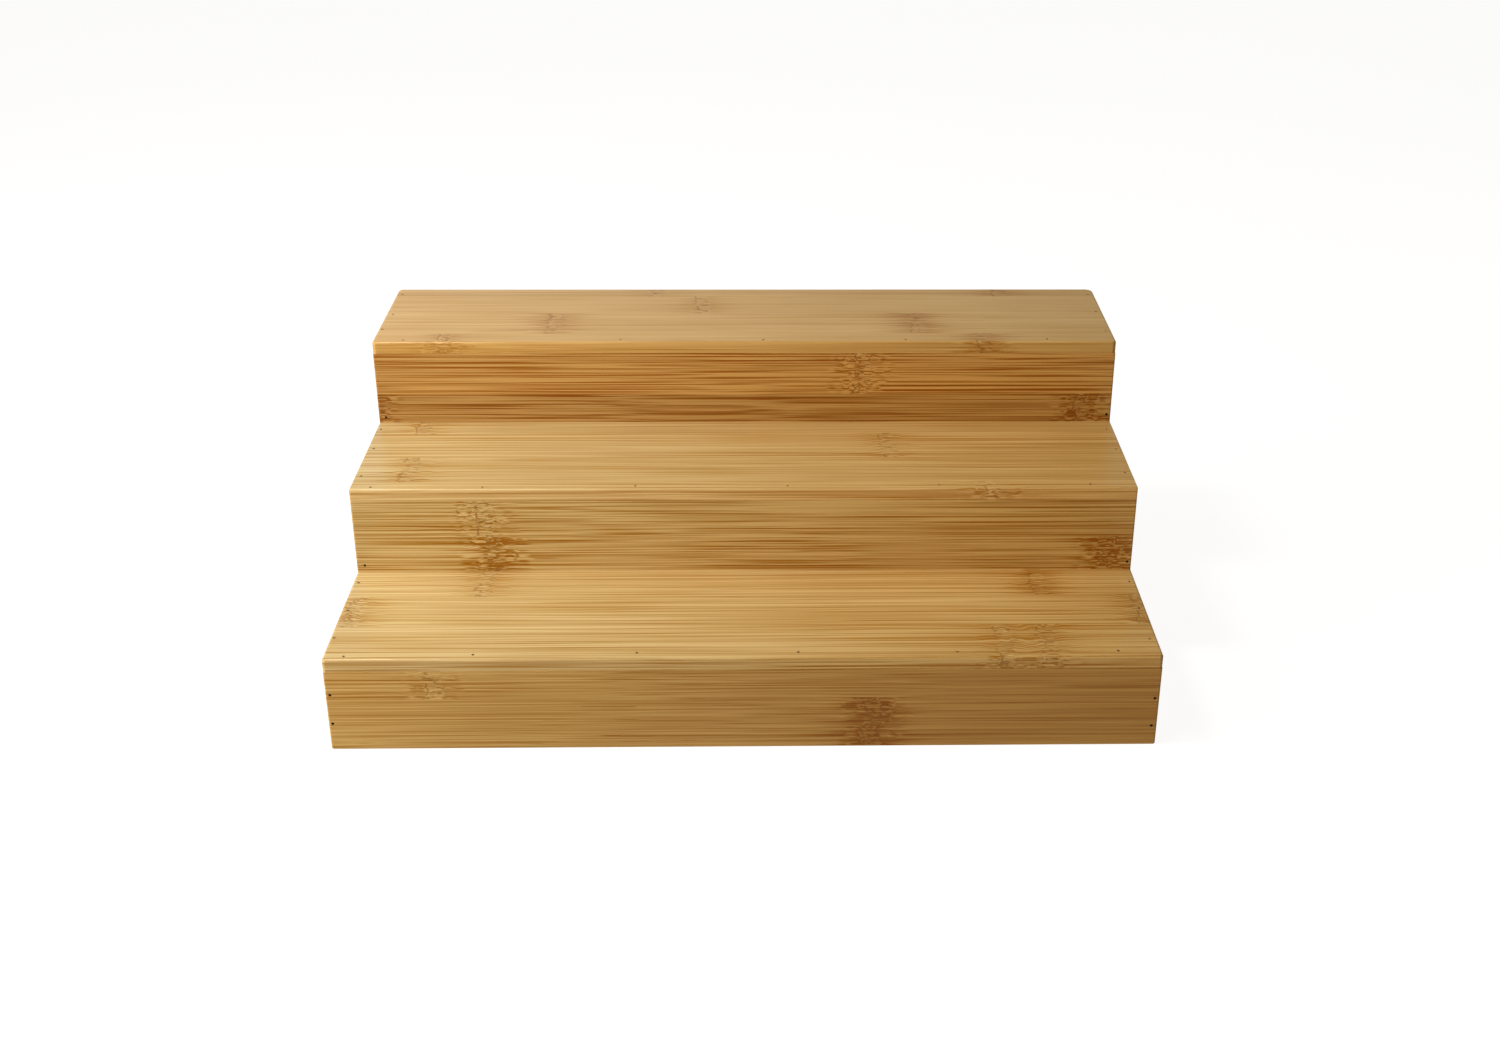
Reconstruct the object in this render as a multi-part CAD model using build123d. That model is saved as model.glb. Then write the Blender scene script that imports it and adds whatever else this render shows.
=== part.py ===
from build123d import *
import os

# A three-step shelf riser in edge-glued bamboo board, glued and bradded together.
# Millimetres, +Z up, front towards -Y. The origin is on the floor, under the middle of the footprint.
# Every board is split into the bamboo strips that it is glued up from, and each strip is a node.

os.makedirs("parts", exist_ok=True)

# Overall sizes
WIDTH = 380.0
BOARD = 6.3
STEPS = ("lower", "middle", "upper")
RISE = {"lower": 47.5, "middle": 44.25, "upper": 44.25}
DEPTH = {"lower": 85.3, "middle": 82.0, "upper": 82.0}

# Strips, from a tread's front edge or an upright board's foot. The last one takes what is left.
TREAD_STRIPS = {
    "lower": {"front": 30.0, "middle": 28.8, "back": None},
    "middle": {"front": 8.7, "second": 28.2, "third": 29.9, "back": None},
    "upper": {"front": 12.5, "second": 30.6, "third": 26.6, "back": None},
}
RISER_STRIPS = {
    "lower": {"foot": 26.5, "head": None},
    "middle": {"foot": 24.3, "head": None},
    "upper": {"foot": 21.8, "head": None},
}
SIDE_STRIPS = {"foot": 31.0, "second": 33.0, "third": 33.5, "top": None}

# Sanded edges
TREAD_ROUND = {"lower": 1.1, "middle": 0.7, "upper": 1.1}
FRONT_CORNER = {"lower": 1.6, "middle": 0.8, "upper": 2.0}
BACK_LEFT_CORNER = 2.5
BACK_RIGHT_CORNER = 4.0
RISER_END_ROUND = 0.8
FOOT_CORNER = 1.0
EASE = 0.35

# Brads: a countersunk head, a straight shank and a pointed tip, driven just below the surface
HEAD_RADIUS = 0.7
HEAD_THICKNESS = 0.5
NECK = 0.3
SHANK_RADIUS = 0.5
TIP = 1.5
BRAD_LENGTH = 14.0
RECESS = 0.45
HOLE_MOUTH = 1.0

# Brads through a tread's ends into the side panels: distances in from the end and behind the front edge
TREAD_END_BRADS = {
    "lower": {
        "left": ((2.0, 20.2), (3.2, 46.0), (2.8, 74.0)),
        "right": ((3.4, 15.9), (3.2, 45.0), (3.0, 72.0)),
    },
    "middle": {
        "left": ((3.1, 16.0), (3.2, 48.8), (2.5, 73.2)),
        "right": ((3.3, 17.5), (2.9, 46.0), (3.2, 71.5)),
    },
    "upper": {
        "left": ((2.2, 18.9), (3.7, 41.6), (3.3, 73.3)),
        "right": ((2.8, 15.8), (3.2, 45.5), (3.6, 72.5)),
    },
}
# Brads through a riser's ends into the side panels: distance in from the end, and height above the tread
# or floor in front
RISER_END_BRADS = {
    "lower": {"left": ((1.9, 13.9), (2.1, 29.0)), "right": ((2.5, 10.3), (2.1, 25.0))},
    "middle": {"left": ((3.9, 3.4),), "right": ((2.1, 3.9),)},
    "upper": {"left": ((3.6, 2.9),), "right": ((2.1, 3.8),)},
}
# Brads through a tread's front edge into the riser below: X, and distance behind the front edge
TREAD_FRONT_BRADS = {
    "lower": {
        "left": ((-180.4, 3.2), (-122.6, 4.3)),
        "middle": ((-48.8, 5.1), (24.4, 5.0)),
        "right": ((96.7, 4.8), (170.2, 4.9)),
    },
    "middle": {
        "left": ((-180.0, 3.1), (-126.4, 2.8)),
        "middle": ((-53.0, 3.6), (20.5, 3.4)),
        "right": ((94.0, 3.9), (167.5, 4.2)),
    },
    "upper": {
        "left": ((-174.5, 3.0), (-152.3, 2.8)),
        "middle": ((-64.0, 3.4), (9.0, 3.3)),
        "right": ((82.0, 3.7), (155.0, 4.0)),
    },
}

HALF_WIDTH = WIDTH / 2
SPARE = 1.0
BACKWARD = Rot(90, 0, 0)


def lay_out_steps():
    """Where each step's front face, tread top and riser foot are."""
    front, top, foot = {}, {}, {}
    y = -sum(DEPTH.values()) / 2
    z = 0.0
    for step in STEPS:
        front[step] = y
        foot[step] = max(z - BOARD, 0.0)
        z += RISE[step]
        top[step] = z
        y += DEPTH[step]
    return front, top, foot


FRONT, TOP, FOOT = lay_out_steps()
BACK = FRONT["upper"] + DEPTH["upper"]


def block(x0, x1, y0, y1, z0, z1):
    """A box between two corners."""
    return Pos(x0, y0, z0) * Box(x1 - x0, y1 - y0, z1 - z0, align=(Align.MIN, Align.MIN, Align.MIN))


def not_at_back(edges, back):
    """The edges of a level face that don't lie along its back."""
    return edges.filter_by(lambda edge: edge.center().Y < back - EASE)


def tread_board(step):
    """One whole tread, with its front and ends rounded over. The upper tread's back is rounded too."""
    front = FRONT[step]
    back = front + DEPTH[step]
    outline = Pos(0, (front + back) / 2) * Rectangle(WIDTH, DEPTH[step])
    outline = fillet(outline.vertices().group_by(Axis.Y)[0], FRONT_CORNER[step])
    if step == "upper":
        outline = fillet(outline.vertices().group_by(Axis.Y)[-1].sort_by(Axis.X)[0], BACK_LEFT_CORNER)
        outline = fillet(outline.vertices().group_by(Axis.Y)[-1].sort_by(Axis.X)[-1], BACK_RIGHT_CORNER)
        back += SPARE
    board = Pos(0, 0, TOP[step] - BOARD) * extrude(outline, BOARD)
    board = fillet(not_at_back(board.faces().sort_by(Axis.Z)[-1].edges(), back), TREAD_ROUND[step])
    return fillet(not_at_back(board.faces().sort_by(Axis.Z)[0].edges(), back), EASE)


def riser_board(step):
    """One whole riser, standing flush under its tread's front edge and behind the tread below."""
    front = FRONT[step]
    back = front + BOARD
    head = TOP[step] - BOARD
    board = block(-HALF_WIDTH, HALF_WIDTH, front, back, FOOT[step], head)
    if step == "lower":
        board = fillet(board.edges().filter_by(Axis.Y).group_by(Axis.Z)[0], FOOT_CORNER)
        rounded = board.faces().sort_by(Axis.Y)[0].edges().filter_by(lambda edge: edge.center().Z < head)
    else:
        rounded = board.faces().sort_by(Axis.Y)[0].edges().filter_by(Axis.Z)
    board = fillet(rounded, RISER_END_ROUND)
    return fillet(not_at_back(board.faces().sort_by(Axis.Z)[-1].edges(), back), EASE)


def side_panel(side):
    """One whole side panel: a stepped outline that carries the treads and backs the risers."""
    outline = [(BACK, 0.0), (FRONT["lower"] + BOARD, 0.0)]
    for step in STEPS:
        level = TOP[step] - BOARD
        back = BACK if step == "upper" else FRONT[step] + DEPTH[step] + BOARD
        outline += [(FRONT[step] + BOARD, level), (back, level)]
    inner = -HALF_WIDTH if side == "left" else HALF_WIDTH - BOARD
    face = Plane.YZ.offset(inner) * make_face(Polyline(*outline, close=True))
    panel = extrude(face, BOARD)
    outer_face = panel.faces().filter_by(Axis.X).sort_by(Axis.X)[0 if side == "left" else -1]
    return fillet(outer_face.edges(), EASE)


def brad():
    """One brad pointing down, with its head's top at the origin."""
    profile = Polyline(
        (0, 0),
        (HEAD_RADIUS, 0),
        (HEAD_RADIUS, -HEAD_THICKNESS),
        (SHANK_RADIUS, -HEAD_THICKNESS - NECK),
        (SHANK_RADIUS, TIP - BRAD_LENGTH),
        (0, -BRAD_LENGTH),
        close=True,
    )
    return revolve(Plane.XZ * make_face(profile), Axis.Z)


def brad_hole():
    """The hole that a brad makes: its own shape, open above its sunken head."""
    mouth = Cylinder(HEAD_RADIUS, RECESS + HOLE_MOUTH, align=(Align.CENTER, Align.CENTER, Align.MIN))
    return brad() + mouth


def brad_places(step):
    """Where the brads of a step go, in groups of neighbours. Each place is a sunken head's top."""
    groups = {}
    front = FRONT[step]
    ground = TOP[step] - RISE[step]
    for side, outward in (("left", -1), ("right", 1)):
        groups[side] = [
            Pos(outward * (HALF_WIDTH - inset), front + depth, TOP[step] - RECESS)
            for inset, depth in TREAD_END_BRADS[step][side]
        ]
        groups[side] += [
            Pos(outward * (HALF_WIDTH - inset), front + RECESS, ground + height) * BACKWARD
            for inset, height in RISER_END_BRADS[step][side]
        ]
    for part, places in TREAD_FRONT_BRADS[step].items():
        groups["front_" + part] = [
            Pos(x, front + depth, TOP[step] - RECESS) for x, depth in places
        ]
    return groups


def split(board, strips, axis, start, end):
    """Cuts a whole board into its named strips between start and end, along Y or Z."""
    reach = WIDTH
    pieces = {}
    low = start
    for name, width in strips.items():
        high = end if width is None else low + width
        if axis == "Y":
            slab = block(-reach, reach, low, high, -reach, reach)
        else:
            slab = block(-reach, reach, -reach, reach, low, high)
        pieces[name] = (board & slab).solid()
        low = high
    return pieces


def write(node, shape):
    export_step(shape, f"parts/{node}.step")


BRAD_GROUPS = {step: brad_places(step) for step in STEPS}
HOLE = brad_hole()
BRAD = brad()


def drilled(board, places):
    """The board with a hole at each place."""
    return board - [place * HOLE for place in places]


def write_steps():
    for step in STEPS:
        places = [place for group in BRAD_GROUPS[step].values() for place in group]
        front = FRONT[step]
        tread = drilled(tread_board(step), places)
        for name, strip in split(tread, TREAD_STRIPS[step], "Y", front, front + DEPTH[step]).items():
            write(f"{step}_tread_{name}_strip", strip)
        riser = drilled(riser_board(step), places)
        for name, strip in split(riser, RISER_STRIPS[step], "Z", FOOT[step], TOP[step] - BOARD).items():
            write(f"{step}_riser_{name}_strip", strip)


def write_sides():
    for side in ("left", "right"):
        places = [place for step in STEPS for place in BRAD_GROUPS[step][side]]
        panel = drilled(side_panel(side), places)
        for name, strip in split(panel, SIDE_STRIPS, "Z", 0.0, TOP["upper"] - BOARD).items():
            write(f"{side}_side_{name}_strip", strip)


def write_brads():
    for step in STEPS:
        for group, places in BRAD_GROUPS[step].items():
            brads = [(place * BRAD).solid() for place in places]
            write(f"{step}_step_{group}_brads", Compound(children=brads))


write_steps()
write_sides()
write_brads()
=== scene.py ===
import math

import bpy
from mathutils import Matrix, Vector

# A three-step bamboo shelf riser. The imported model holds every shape; this script gives each bamboo
# strip and each brad its material, and adds the floor, the light and the camera. Metres.

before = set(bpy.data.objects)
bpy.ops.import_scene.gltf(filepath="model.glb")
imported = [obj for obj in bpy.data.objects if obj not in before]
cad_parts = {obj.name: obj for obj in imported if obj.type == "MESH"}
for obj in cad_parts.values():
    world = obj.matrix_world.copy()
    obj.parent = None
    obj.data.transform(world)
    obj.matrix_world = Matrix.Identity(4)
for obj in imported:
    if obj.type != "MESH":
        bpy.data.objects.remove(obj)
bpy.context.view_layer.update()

MM = 0.001
# Where the lamps point
RISER_MIDDLE = (0.0, 0.0, 0.06)
WHITE = (1.0, 1.0, 1.0, 1.0)

# Albedo of the bamboo, linear: the pale tissue, the fibres in it, the scorched marks at a knuckle, and
# the cut ends
PALE = (0.800, 0.560, 0.245)
FIBRE = (0.540, 0.285, 0.068)
MARK = (0.330, 0.138, 0.018)
END_GRAIN = (0.500, 0.290, 0.115)

# Albedo of the brads' oxidised steel, linear, in its darker and its browner patches
DARK_STEEL = (0.014, 0.007, 0.004)
BROWN_STEEL = (0.050, 0.026, 0.014)

# The brads' patina: cycles per millimetre, the levels between which the colour and the roughness change,
# and the roughness from dark to brown
PATINA = (1.6, 1.6)
PATINA_COLOUR = (0.35, 0.65)
PATINA_ROUGH = (0.3, 0.7)
STEEL_ROUGHNESS = (0.60, 0.85)
STEEL_METALLIC = 0.3
STEEL_SPECULAR = 0.2

# Tint of the narrow front edges of the lower two treads, which are paler than their tops
EDGE_TINT = (1.1, 1.1, 1.2)

# Half the riser's width, in millimetres
HALF_WIDTH = 190.0

# How squarely a face looks along an axis where its end grain or paler edge sets in, and where it is whole
SETS_IN = 0.65
WHOLE = 0.9

# Noises of the bamboo: cycles per millimetre along the fibres and across them
HAIR = (0.007, 1.5)
STREAK = (0.004, 0.55)
BAND = (0.004, 0.11)
CLOUD = (0.02, 0.05)
THREAD = (0.002, 0.36)
BREAKS = (0.010, 0.8)
SWAY = (0.012, 0.03)

# Noises of a knuckle, likewise: its line, its core's ends, the ridge line and its gaps, the slivers in the
# core, the streaks of its scorch, and the two by which the fibres swerve about it
WANDER = (0.02, 0.13)
RAGGED = (0.03, 0.9)
ZIGZAG = (0.10, 0.7)
GAPS = (0.02, 0.21)
SLIVERS = (0.13, 0.90)
SCORCH = (0.012, 0.75)
RIPPLE = (0.12, 0.16)
CURL = (0.25, 0.45)

# The share of fibre colour in the bamboo: its level, how strongly each noise and a knuckle's scorch and
# core move it, and its limits
DEPTH_LEVEL = 0.42
DEPTH_HAIR = 6.5
DEPTH_STREAK = 0.18
DEPTH_BAND = 0.12
DEPTH_CLOUD = 0.35
DEPTH_THREAD = 0.3
DEPTH_HALO = 0.65
DEPTH_CORE = -0.25
DEPTH_LIMITS = (-0.1, 1.6)

# What a full scorch adds to the contrast of the fibres, and the share of mark colour in a squiggle
HALO_CONTRAST = 0.1
SQUIGGLE_STRENGTH = 0.80

# In millimetres: how far the fibres sway, how far a knuckle wanders off its line, how ragged its core is
# and where the core ends, the ridge line's zigzag, place and edge, where the scorch starts and how its
# streaks set its reach, and how far the fibres swerve and where that dies away
SWAY_MM = 1.5
WANDER_MM = 7.0
RAGGED_MM = 4.0
CORE_EDGE = (3.0, 4.8)
ZIGZAG_MM = 4.0
RIDGE_BEFORE = 3.2
RIDGE_EDGE = (0.1, 0.7)
SCORCH_FROM = 1.0
REACH_SPREAD = 90.0
REACH_LEAST = -24.0
RIPPLE_MM = 4.5
RIPPLE_ENDS = (3.0, 20.0)
CURL_MM = 2.0
CURL_ENDS = (3.0, 7.0)

# Levels of noise: where the ridge line and the thread lines are kept, and how far from the middle level
# the outlines of the slivers and the thread lines end
RIDGE_KEPT = (0.40, 0.55)
THREAD_KEPT = (0.40, 0.56)
OUTLINE_EDGE = (0.015, 0.075)
THREAD_EDGE = (0.003, 0.022)

# Roughness: its level, and how much each feature adds
ROUGH_LEVEL = 0.36
ROUGH_HAIR = 0.22
ROUGH_CLOUD = 0.16
ROUGH_SQUIGGLE = 0.12
ROUGH_END = 0.25

# Relief, in millimetres
RELIEF_HAIR = 0.030
RELIEF_STREAK = 0.020
RELIEF_THREAD = -0.006
RELIEF_SQUIGGLE = -0.005
RELIEF_BUNDLE = -0.08

# Fibre bundles in the end grain: how many there are per millimetre, and where one ends, in their spacing
BUNDLES = 1.3
BUNDLE_EDGE = (0.22, 0.42)

# The clear coat over the bamboo
VARNISH_IOR = 1.5
VARNISH_WEIGHT = 0.45
VARNISH_ROUGHNESS = 0.15

# Offsets between the noises of one strip and the next, in millimetres
SEED_STEP = (137.0, 61.0, 29.0)

# Shades of bamboo board, which multiply the colours above. They are partly painted light: straw gives a
# board's left end the paler, bluer look of cool light falling on it, and honey and amber give a right end
# partly the warmer, darker look of painted shade.
STRAW_IN_COOL_LIGHT = (0.9, 1.0, 1.2)
HONEY = (0.95, 0.9, 0.8)
AMBER_IN_WARM_SHADE = (0.8, 0.65, 0.45)
UMBER = (0.7, 0.6, 0.5)
NATURAL = (1.0, 1.0, 1.0)

# Boards: the shades at the board's left and right ends, and the contrast of its fibres. Where the two ends
# differ, the change along the board is partly its own colour and mostly painted light: cooler light on the
# left end, warmer and mostly dimmer painted shade on the right.
BOARDS = {
    "lower_tread": (STRAW_IN_COOL_LIGHT, HONEY, 0.6),
    "middle_tread": (STRAW_IN_COOL_LIGHT, HONEY, 0.6),
    "upper_tread": (HONEY, HONEY, 0.3),
    "lower_riser": (NATURAL, AMBER_IN_WARM_SHADE, 0.5),
    "middle_riser": (STRAW_IN_COOL_LIGHT, HONEY, 0.8),
    "upper_riser": (UMBER, AMBER_IN_WARM_SHADE, 1.1),
    "left_side": (NATURAL, NATURAL, 0.6),
    "right_side": (NATURAL, NATURAL, 0.6),
}

# The strips of each board: how light the strip is, and its knuckles. Each knuckle is its place along the
# strip, in millimetres from the riser's middle, and how scorched it is.
STRIPS = {
    "lower_tread": {
        "front": (1.0, ((119.0, 0.5), (138.0, 0.5))),
        "middle": (1.0, ((-183.0, 0.8), (188.0, 0.8))),
        "back": (1.0, ((-126.0, 0.6), (142.0, 1.1))),
    },
    "middle_tread": {
        "front": (1.05, ((118.0, 0.0),)),
        "second": (1.0, ((-164.0, 0.6),)),
        "third": (1.0, ((71.0, 0.4),)),
        "back": (0.95, ((-165.0, 0.6),)),
    },
    "upper_tread": {
        "front": (1.0, ((-154.0, 0.7), (122.0, 0.9))),
        "second": (1.0, ((-100.0, 0.8), (89.0, 1.1))),
        "third": (1.0, ((-24.0, 0.5),)),
        "back": (0.95, ((138.0, 0.6), (-50.0, 0.4))),
    },
    "lower_riser": {"foot": (1.0, ((58.0, 1.4),)), "head": (1.0, ((-141.0, 0.1),))},
    "middle_riser": {
        "foot": (1.0, ((-122.0, 1.5), (178.0, 1.4))),
        "head": (1.0, ((-126.0, 0.3),)),
    },
    "upper_riser": {"foot": (0.9, ((174.0, 1.0), (-194.0, 1.0))), "head": (1.1, ((59.0, 0.1),))},
    "left_side": {
        "foot": (0.95, ((-60.0, 0.8),)),
        "second": (1.0, ((34.0, 0.4),)),
        "third": (0.95, ((88.0, 1.0),)),
        "top": (1.0, ()),
    },
    "right_side": {
        "foot": (1.0, ((70.0, 1.0),)),
        "second": (0.95, ((-92.0, 0.5),)),
        "third": (1.05, ((20.0, 0.7),)),
        "top": (0.95, ((104.0, 0.8),)),
    },
}
MOST_KNUCKLES = 2
# A knuckle that a strip doesn't have: out of reach
AWAY = (9999.0, 0.0)


# The floor: how far it reaches, its mottle in cycles per metre and between which greys, and its glow
FLOOR_REACH = 40.0
FLOOR_MOTTLE = (3.0, 3.0)
FLOOR_GREYS = ((0.18, 0.18, 0.18), (0.22, 0.22, 0.22))
FLOOR_ROUGHNESS = 0.9
FLOOR_GLOW = 0.93

# The world, by direction. X is to the right, Y away from the camera and Z up, each from -1 to 1. A pale
# wall stands behind the riser: where it starts in Y, its foot and top in Z, what is left above its top,
# and its strength and colours from left to right.
WALL_START = (0.3, 0.75)
WALL_FOOT = (0.0, 0.2)
WALL_TOP = (0.35, 0.42)
ABOVE_WALL = 0.15
WALL_SPAN = (-0.5, 0.45)
WALL_STRENGTH = 0.90
WALL_DROP = -0.55
WALL_LEFT = (0.92, 0.95, 1.0)
WALL_RIGHT = (1.0, 0.86, 0.58)
# The rest of the world: its colour, and its strength from straight down to just above level
GROUND = (1.0, 0.80, 0.46)
GROUND_SPAN = (-1.0, 0.2)
GROUND_STRENGTH = (0.75, 0.06)

# The camera: its place, and its turn in degrees
CAMERA_PLACE = (0.0086, -0.8578, 0.4757)
CAMERA_TURN = (63.96, -0.43, -1.31)


class Graph:
    """Short calls that add nodes to a node tree and link them."""

    def __init__(self, tree):
        self.tree = tree

    def node(self, kind, **settings):
        made = self.tree.nodes.new(kind)
        for name, value in settings.items():
            setattr(made, name, value)
        return made

    def link(self, value, socket):
        if isinstance(value, bpy.types.NodeSocket):
            self.tree.links.new(value, socket)
        else:
            socket.default_value = value

    def math(self, operation, a, b=None, c=None, clamp=False):
        made = self.node("ShaderNodeMath", operation=operation, use_clamp=clamp)
        for value, socket in zip((a, b, c), made.inputs):
            if value is not None:
                self.link(value, socket)
        return made.outputs[0]

    def combine(self, x, y, z):
        made = self.node("ShaderNodeCombineXYZ")
        for value, socket in zip((x, y, z), made.inputs):
            self.link(value, socket)
        return made.outputs[0]

    def separate(self, vector):
        made = self.node("ShaderNodeSeparateXYZ")
        self.link(vector, made.inputs[0])
        return made.outputs

    def noise(self, u, v, w, along, across, detail=0.0, roughness=0.5):
        """Noise stretched along the fibres. along and across are its cycles per millimetre."""
        place = self.combine(
            self.math("MULTIPLY", u, along),
            self.math("MULTIPLY", v, across),
            self.math("MULTIPLY", w, across),
        )
        made = self.node("ShaderNodeTexNoise", noise_dimensions="3D")
        self.link(place, made.inputs["Vector"])
        made.inputs["Scale"].default_value = 1.0
        made.inputs["Detail"].default_value = detail
        made.inputs["Roughness"].default_value = roughness
        return made.outputs[0]

    def ramp(self, value, low, high, to_low=0.0, to_high=1.0):
        """A smooth step from to_low at low to to_high at high."""
        made = self.node("ShaderNodeMapRange", interpolation_type="SMOOTHSTEP", clamp=True)
        for number, socket in zip((value, low, high, to_low, to_high), made.inputs):
            self.link(number, socket)
        return made.outputs[0]

    def mix(self, factor, a, b, blend="MIX", clamp=True):
        made = self.node("ShaderNodeMix", data_type="RGBA", blend_type=blend, clamp_factor=clamp)
        self.link(factor, made.inputs[0])
        self.link(a, made.inputs[6])
        self.link(b, made.inputs[7])
        return made.outputs[2]

    def sum(self, *terms):
        total = terms[0]
        for term in terms[1:]:
            total = self.math("ADD", total, term)
        return total

    def centred(self, value, amount):
        """A noise value about zero, times amount."""
        return self.math("MULTIPLY", self.math("SUBTRACT", value, 0.5), amount)


def new_group(name, inputs, outputs):
    """A node group with named sockets: its tree, its input sockets and a call that sets an output."""
    tree = bpy.data.node_groups.new(name, "ShaderNodeTree")
    for socket, kind in inputs:
        tree.interface.new_socket(socket, in_out="INPUT", socket_type=kind)
    for socket, kind in outputs:
        tree.interface.new_socket(socket, in_out="OUTPUT", socket_type=kind)
    graph = Graph(tree)
    entry = graph.node("NodeGroupInput")
    exit_node = graph.node("NodeGroupOutput")
    return tree, graph, entry.outputs, exit_node.inputs


def colour(rgb, lightness=1.0):
    """A socket's colour from red, green and blue."""
    return (*(channel * lightness for channel in rgb), 1.0)


FLOAT = "NodeSocketFloat"
COLOUR = "NodeSocketColor"


def knuckle_group():
    """A knuckle: its pale core, its scorched halo, its dark squiggles, and how far fibres swerve."""
    tree, g, given, out = new_group(
        "knuckle",
        (
            ("Along", FLOAT),
            ("Across", FLOAT),
            ("Through", FLOAT),
            ("Place", FLOAT),
            ("Scorch", FLOAT),
        ),
        (("Core", FLOAT), ("Halo", FLOAT), ("Squiggle", FLOAT), ("Swerve", FLOAT)),
    )
    u, v, w = given["Along"], given["Across"], given["Through"]
    wander = g.centred(g.noise(u, v, w, *WANDER, detail=1.0), WANDER_MM)
    distance = g.sum(g.math("SUBTRACT", u, given["Place"]), wander)
    away = g.math("ABSOLUTE", distance)
    ragged = g.centred(g.noise(u, v, w, *RAGGED, detail=1.0), RAGGED_MM)
    core = g.ramp(g.math("ABSOLUTE", g.math("ADD", distance, ragged)), *CORE_EDGE, 1.0, 0.0)

    zigzag = g.centred(g.noise(u, v, w, *ZIGZAG, detail=1.0), ZIGZAG_MM)
    off_ridge = g.math("ABSOLUTE", g.sum(distance, zigzag, RIDGE_BEFORE))
    ridge = g.ramp(off_ridge, *RIDGE_EDGE, 1.0, 0.0)
    kept = g.ramp(g.noise(u, v, w, *GAPS), *RIDGE_KEPT)

    slivers = g.noise(u, v, w, *SLIVERS)
    outline = g.ramp(g.math("ABSOLUTE", g.math("SUBTRACT", slivers, 0.5)), *OUTLINE_EDGE, 1.0, 0.0)
    squiggle = g.math("MAXIMUM", g.math("MULTIPLY", outline, core), g.math("MULTIPLY", ridge, kept))

    streaky = g.noise(u, v, w, *SCORCH, detail=2.0)
    reach = g.math("MULTIPLY_ADD", streaky, REACH_SPREAD, REACH_LEAST)
    halo = g.math("MULTIPLY", g.ramp(away, SCORCH_FROM, reach, 1.0, 0.0), given["Scorch"])

    ripple = g.centred(g.noise(u, v, w, *RIPPLE), RIPPLE_MM)
    curl = g.centred(g.noise(u, v, w, *CURL), CURL_MM)
    swerve = g.sum(
        g.math("MULTIPLY", ripple, g.ramp(away, *RIPPLE_ENDS, 1.0, 0.0)),
        g.math("MULTIPLY", curl, g.ramp(away, *CURL_ENDS, 1.0, 0.0)),
    )
    g.link(core, out["Core"])
    g.link(halo, out["Halo"])
    g.link(squiggle, out["Squiggle"])
    g.link(swerve, out["Swerve"])
    return tree


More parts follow.
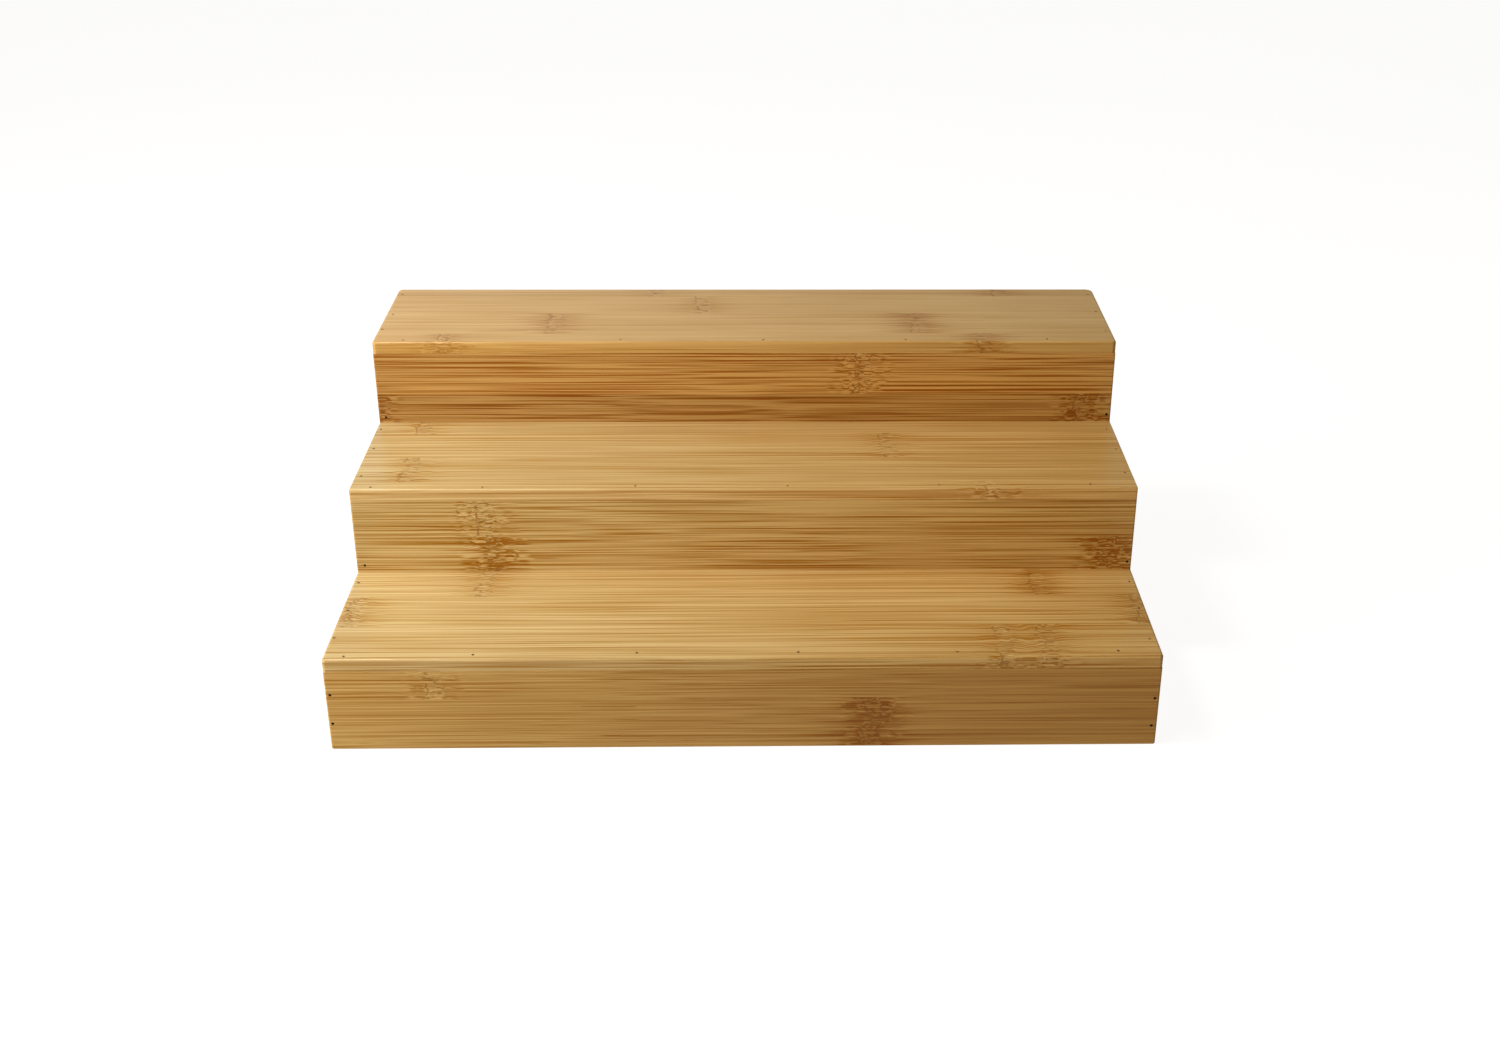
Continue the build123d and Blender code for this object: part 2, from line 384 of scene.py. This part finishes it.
def bamboo_group(knuckle):
    """The bamboo itself with painted light along each board, from a point in millimetres along, across and
    through a strip.
    """
    tree, g, given, out = new_group(
        "bamboo",
        (
            ("Along", FLOAT),
            ("Across", FLOAT),
            ("Through", FLOAT),
            ("Seed", FLOAT),
            ("Left tint and light", COLOUR),
            ("Right tint and light", COLOUR),
            ("Contrast", FLOAT),
            ("First place", FLOAT),
            ("First scorch", FLOAT),
            ("Second place", FLOAT),
            ("Second scorch", FLOAT),
            ("End", FLOAT),
            ("Edge", FLOAT),
        ),
        (("Color", COLOUR), ("Roughness", FLOAT), ("Height", FLOAT)),
    )
    contrast = given["Contrast"]
    u0 = given["Along"]
    u = g.math("MULTIPLY_ADD", given["Seed"], SEED_STEP[0], u0)
    v = g.math("MULTIPLY_ADD", given["Seed"], SEED_STEP[1], given["Across"])
    w = g.math("MULTIPLY_ADD", given["Seed"], SEED_STEP[2], given["Through"])

    parts = []
    for which in ("First", "Second"):
        near = g.node("ShaderNodeGroup", node_tree=knuckle)
        g.link(u0, near.inputs["Along"])
        g.link(v, near.inputs["Across"])
        g.link(w, near.inputs["Through"])
        g.link(given[f"{which} place"], near.inputs["Place"])
        g.link(given[f"{which} scorch"], near.inputs["Scorch"])
        parts.append(near.outputs)
    core, halo, squiggle = (
        g.math("MAXIMUM", parts[0][kind], parts[1][kind]) for kind in ("Core", "Halo", "Squiggle")
    )
    swerve = g.math("ADD", parts[0]["Swerve"], parts[1]["Swerve"])

    sway = g.centred(g.noise(u, v, w, *SWAY), SWAY_MM)
    v_run = g.sum(v, sway, swerve)

    hair = g.noise(u, v_run, w, *HAIR, detail=1.0, roughness=0.6)
    streak = g.noise(u, v_run, w, *STREAK, detail=1.0)
    band = g.noise(u, v_run, w, *BAND, detail=1.0)
    cloud = g.noise(u, v, w, *CLOUD, detail=1.0)
    thread = g.math("ABSOLUTE", g.math("SUBTRACT", g.noise(u, v_run, w, *THREAD, detail=1.0), 0.5))
    broken = g.ramp(g.noise(u, v_run, w, *BREAKS), *THREAD_KEPT)
    line = g.math("MULTIPLY", g.ramp(thread, *THREAD_EDGE, 1.0, 0.0), broken)

    fine_contrast = g.math("MULTIPLY_ADD", halo, HALO_CONTRAST, contrast)
    depth = g.sum(
        DEPTH_LEVEL,
        g.math("MULTIPLY", g.centred(hair, DEPTH_HAIR), fine_contrast),
        g.centred(streak, DEPTH_STREAK),
        g.centred(band, DEPTH_BAND),
        g.centred(cloud, DEPTH_CLOUD),
        g.math("MULTIPLY", line, DEPTH_THREAD),
    )
    depth = g.math("MULTIPLY_ADD", halo, DEPTH_HALO, depth)
    depth = g.math("MULTIPLY_ADD", core, DEPTH_CORE, depth)
    depth = g.math("MINIMUM", g.math("MAXIMUM", depth, DEPTH_LIMITS[0]), DEPTH_LIMITS[1])
    fibres = g.mix(depth, colour(PALE), colour(FIBRE), clamp=False)
    body = g.mix(g.math("MULTIPLY", squiggle, SQUIGGLE_STRENGTH), fibres, colour(MARK))

    dots = g.node("ShaderNodeTexVoronoi", feature="F1")
    g.link(g.combine(0.0, v, w), dots.inputs["Vector"])
    dots.inputs["Scale"].default_value = BUNDLES
    bundle = g.ramp(dots.outputs["Distance"], *BUNDLE_EDGE, 1.0, 0.0)
    end_colour = g.mix(bundle, colour(END_GRAIN), colour(MARK))
    body = g.mix(given["End"], body, end_colour)

    # Painted light along the board: its colour goes from the left shade to the right one. This is partly
    # the board's own colour, and mostly cooler light painted on the left end and warmer, mostly dimmer
    # shade painted on the right.
    tint = g.mix(g.ramp(u0, -HALF_WIDTH, HALF_WIDTH), given["Left tint and light"], given["Right tint and light"])
    body = g.mix(1.0, body, tint, "MULTIPLY")
    g.link(g.mix(given["Edge"], body, colour(EDGE_TINT), "MULTIPLY"), out["Color"])

    rough = g.sum(
        ROUGH_LEVEL,
        g.centred(hair, ROUGH_HAIR),
        g.centred(cloud, ROUGH_CLOUD),
        g.math("MULTIPLY", squiggle, ROUGH_SQUIGGLE),
        g.math("MULTIPLY", given["End"], ROUGH_END),
    )
    g.link(rough, out["Roughness"])

    height = g.sum(
        g.centred(hair, RELIEF_HAIR),
        g.centred(streak, RELIEF_STREAK),
        g.math("MULTIPLY", line, RELIEF_THREAD),
        g.math("MULTIPLY", squiggle, RELIEF_SQUIGGLE),
        g.math("MULTIPLY", g.math("MULTIPLY", bundle, given["End"]), RELIEF_BUNDLE),
    )
    g.link(height, out["Height"])
    return tree


def bamboo_material(bamboo, board, strip, seed):
    """One strip's material. A side panel's fibres run front to back, the others' left to right."""
    runs_back = board.endswith("side")
    paler_edge = board in ("lower_tread", "middle_tread")
    # The end shades carry painted light as well as the board's colour.
    left_tint_and_light, right_tint_and_light, contrast = BOARDS[board]
    lightness, knuckles = STRIPS[board][strip]
    knuckles += (AWAY,) * (MOST_KNUCKLES - len(knuckles))
    material = bpy.data.materials.new(f"{board}_{strip}_bamboo")
    material.use_nodes = True
    g = Graph(material.node_tree)
    shader = material.node_tree.nodes["Principled BSDF"]
    coordinates = g.node("ShaderNodeTexCoord")
    scaled = g.node("ShaderNodeVectorMath", operation="SCALE")
    g.link(coordinates.outputs["Object"], scaled.inputs[0])
    scaled.inputs["Scale"].default_value = 1.0 / MM
    x, y, z = g.separate(scaled.outputs[0])
    facing = g.separate(coordinates.outputs["Normal"])

    wood = g.node("ShaderNodeGroup", node_tree=bamboo)
    along, across, through = (y, z, x) if runs_back else (x, y, z)
    for value, socket in (
        (along, "Along"),
        (across, "Across"),
        (through, "Through"),
        (seed, "Seed"),
        (colour(left_tint_and_light, lightness), "Left tint and light"),
        (colour(right_tint_and_light, lightness), "Right tint and light"),
        (contrast, "Contrast"),
        (knuckles[0][0], "First place"),
        (knuckles[0][1], "First scorch"),
        (knuckles[1][0], "Second place"),
        (knuckles[1][1], "Second scorch"),
        (g.ramp(g.math("ABSOLUTE", facing[1 if runs_back else 0]), SETS_IN, WHOLE), "End"),
        (g.ramp(g.math("ABSOLUTE", facing[1]), SETS_IN, WHOLE) if paler_edge else 0.0, "Edge"),
    ):
        g.link(value, wood.inputs[socket])

    bump = g.node("ShaderNodeBump")
    bump.inputs["Distance"].default_value = MM
    bump.inputs["Strength"].default_value = 1.0
    g.link(wood.outputs["Height"], bump.inputs["Height"])
    g.link(wood.outputs["Color"], shader.inputs["Base Color"])
    g.link(wood.outputs["Roughness"], shader.inputs["Roughness"])
    g.link(bump.outputs[0], shader.inputs["Normal"])
    shader.inputs["IOR"].default_value = VARNISH_IOR
    shader.inputs["Coat Weight"].default_value = VARNISH_WEIGHT
    shader.inputs["Coat Roughness"].default_value = VARNISH_ROUGHNESS
    return material


def brad_material():
    """Dark oxidised steel."""
    material = bpy.data.materials.new("oxidised_steel")
    material.use_nodes = True
    g = Graph(material.node_tree)
    shader = material.node_tree.nodes["Principled BSDF"]
    coordinates = g.node("ShaderNodeTexCoord")
    scaled = g.node("ShaderNodeVectorMath", operation="SCALE")
    g.link(coordinates.outputs["Object"], scaled.inputs[0])
    scaled.inputs["Scale"].default_value = 1.0 / MM
    x, y, z = g.separate(scaled.outputs[0])
    patina = g.noise(x, y, z, *PATINA, detail=3.0)
    steel = g.mix(g.ramp(patina, *PATINA_COLOUR), colour(DARK_STEEL), colour(BROWN_STEEL))
    g.link(steel, shader.inputs["Base Color"])
    g.link(g.ramp(patina, *PATINA_ROUGH, *STEEL_ROUGHNESS), shader.inputs["Roughness"])
    shader.inputs["Metallic"].default_value = STEEL_METALLIC
    shader.inputs["Specular IOR Level"].default_value = STEEL_SPECULAR
    return material


def give(node, material):
    """Puts a material in every slot of a CAD node's object."""
    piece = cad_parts[node]
    for slot in piece.material_slots:
        slot.link = "OBJECT"
        slot.material = material


def dress_riser():
    bamboo = bamboo_group(knuckle_group())
    seed = 0.0
    for board, strips in STRIPS.items():
        for strip in strips:
            seed += 1.0
            give(f"{board}_{strip}_strip", bamboo_material(bamboo, board, strip, seed))
    steel = brad_material()
    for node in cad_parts:
        if node.endswith("brads"):
            give(node, steel)


def floor():
    """A wide pale floor, bright enough to photograph as white."""
    mesh = bpy.data.meshes.new("floor")
    reach = FLOOR_REACH
    corners = [(-reach, -reach, 0), (reach, -reach, 0), (reach, reach, 0), (-reach, reach, 0)]
    mesh.from_pydata(corners, [], [(0, 1, 2, 3)])
    piece = bpy.data.objects.new("floor", mesh)
    bpy.context.scene.collection.objects.link(piece)
    material = bpy.data.materials.new("pale_floor")
    material.use_nodes = True
    g = Graph(material.node_tree)
    shader = material.node_tree.nodes["Principled BSDF"]
    place = g.separate(g.node("ShaderNodeTexCoord").outputs["Object"])
    mottle = g.noise(*place, *FLOOR_MOTTLE, detail=3.0)
    darker, lighter = FLOOR_GREYS
    g.link(g.mix(mottle, colour(darker), colour(lighter)), shader.inputs["Base Color"])
    shader.inputs["Roughness"].default_value = FLOOR_ROUGHNESS
    shader.inputs["Emission Color"].default_value = WHITE
    shader.inputs["Emission Strength"].default_value = FLOOR_GLOW
    mesh.materials.append(material)
    # The world lights the riser from below in its place
    piece.visible_diffuse = False
    piece.visible_glossy = False


def area_light(name, place, size, power, tint, mirrored=True):
    """A soft rectangular lamp that faces the riser. mirrored: the riser's gloss shows it."""
    light = bpy.data.lights.new(name, "AREA")
    light.shape = "RECTANGLE"
    light.size, light.size_y = size
    light.energy = power
    light.color = tint
    piece = bpy.data.objects.new(name, light)
    piece.location = place
    piece.rotation_euler = (Vector(RISER_MIDDLE) - piece.location).to_track_quat("-Z", "Y").to_euler()
    piece.visible_camera = False
    piece.visible_glossy = mirrored
    bpy.context.scene.collection.objects.link(piece)


def lights():
    area_light("lamp_over_left", (-0.4, -0.1, 0.95), (0.2, 0.2), 4.0, (1.0, 0.95, 0.85))
    area_light("window_left", (-0.8, 0.0, 0.45), (0.6, 0.6), 4.0, (0.8, 0.9, 1.0), False)
    area_light("window_front", (-0.75, -0.45, 0.4), (0.6, 0.6), 7.5, (1.0, 0.85, 0.6), False)
    area_light("fill_right", (1.2, 0.35, 0.15), (0.5, 0.3), 1.2, (1.0, 0.95, 0.8), False)
    world = bpy.data.worlds.new("studio")
    bpy.context.scene.world = world
    world.use_nodes = True
    g = Graph(world.node_tree)
    background = world.node_tree.nodes["Background"]
    # Warm light from below, and a pale wall behind that dims from left to right
    x, y, z = g.separate(g.node("ShaderNodeTexCoord").outputs["Generated"])
    band = g.math("MULTIPLY", g.ramp(z, *WALL_FOOT), g.ramp(z, *WALL_TOP, 1.0, ABOVE_WALL))
    wall = g.math("MULTIPLY", g.ramp(y, *WALL_START), band)
    dims = g.ramp(x, *WALL_SPAN)
    wall_strength = g.math("MULTIPLY", wall, g.math("MULTIPLY_ADD", dims, WALL_DROP, WALL_STRENGTH))
    ground_strength = g.ramp(z, *GROUND_SPAN, *GROUND_STRENGTH)
    g.link(g.math("ADD", ground_strength, wall_strength), background.inputs["Strength"])
    wall_colour = g.mix(dims, colour(WALL_LEFT), colour(WALL_RIGHT))
    g.link(g.mix(wall, colour(GROUND), wall_colour), background.inputs["Color"])
    horizon = g.node("ShaderNodeBackground")
    horizon.inputs["Color"].default_value = WHITE
    chosen = g.node("ShaderNodeMixShader")
    g.link(g.node("ShaderNodeLightPath").outputs["Is Camera Ray"], chosen.inputs[0])
    g.link(background.outputs[0], chosen.inputs[1])
    g.link(horizon.outputs[0], chosen.inputs[2])
    g.link(chosen.outputs[0], world.node_tree.nodes["World Output"].inputs["Surface"])


def camera():
    """Stands before the riser, a little above it, and looks down at it."""
    lens = bpy.data.cameras.new("camera")
    lens.sensor_width = 36.0
    lens.lens = 45.05
    lens.shift_x = -0.0387
    lens.clip_start = 0.01
    piece = bpy.data.objects.new("camera", lens)
    piece.location = CAMERA_PLACE
    piece.rotation_euler = [math.radians(turn) for turn in CAMERA_TURN]
    bpy.context.scene.collection.objects.link(piece)
    bpy.context.scene.camera = piece


dress_riser()
floor()
lights()
camera()
bpy.context.scene.view_settings.view_transform = "Standard"
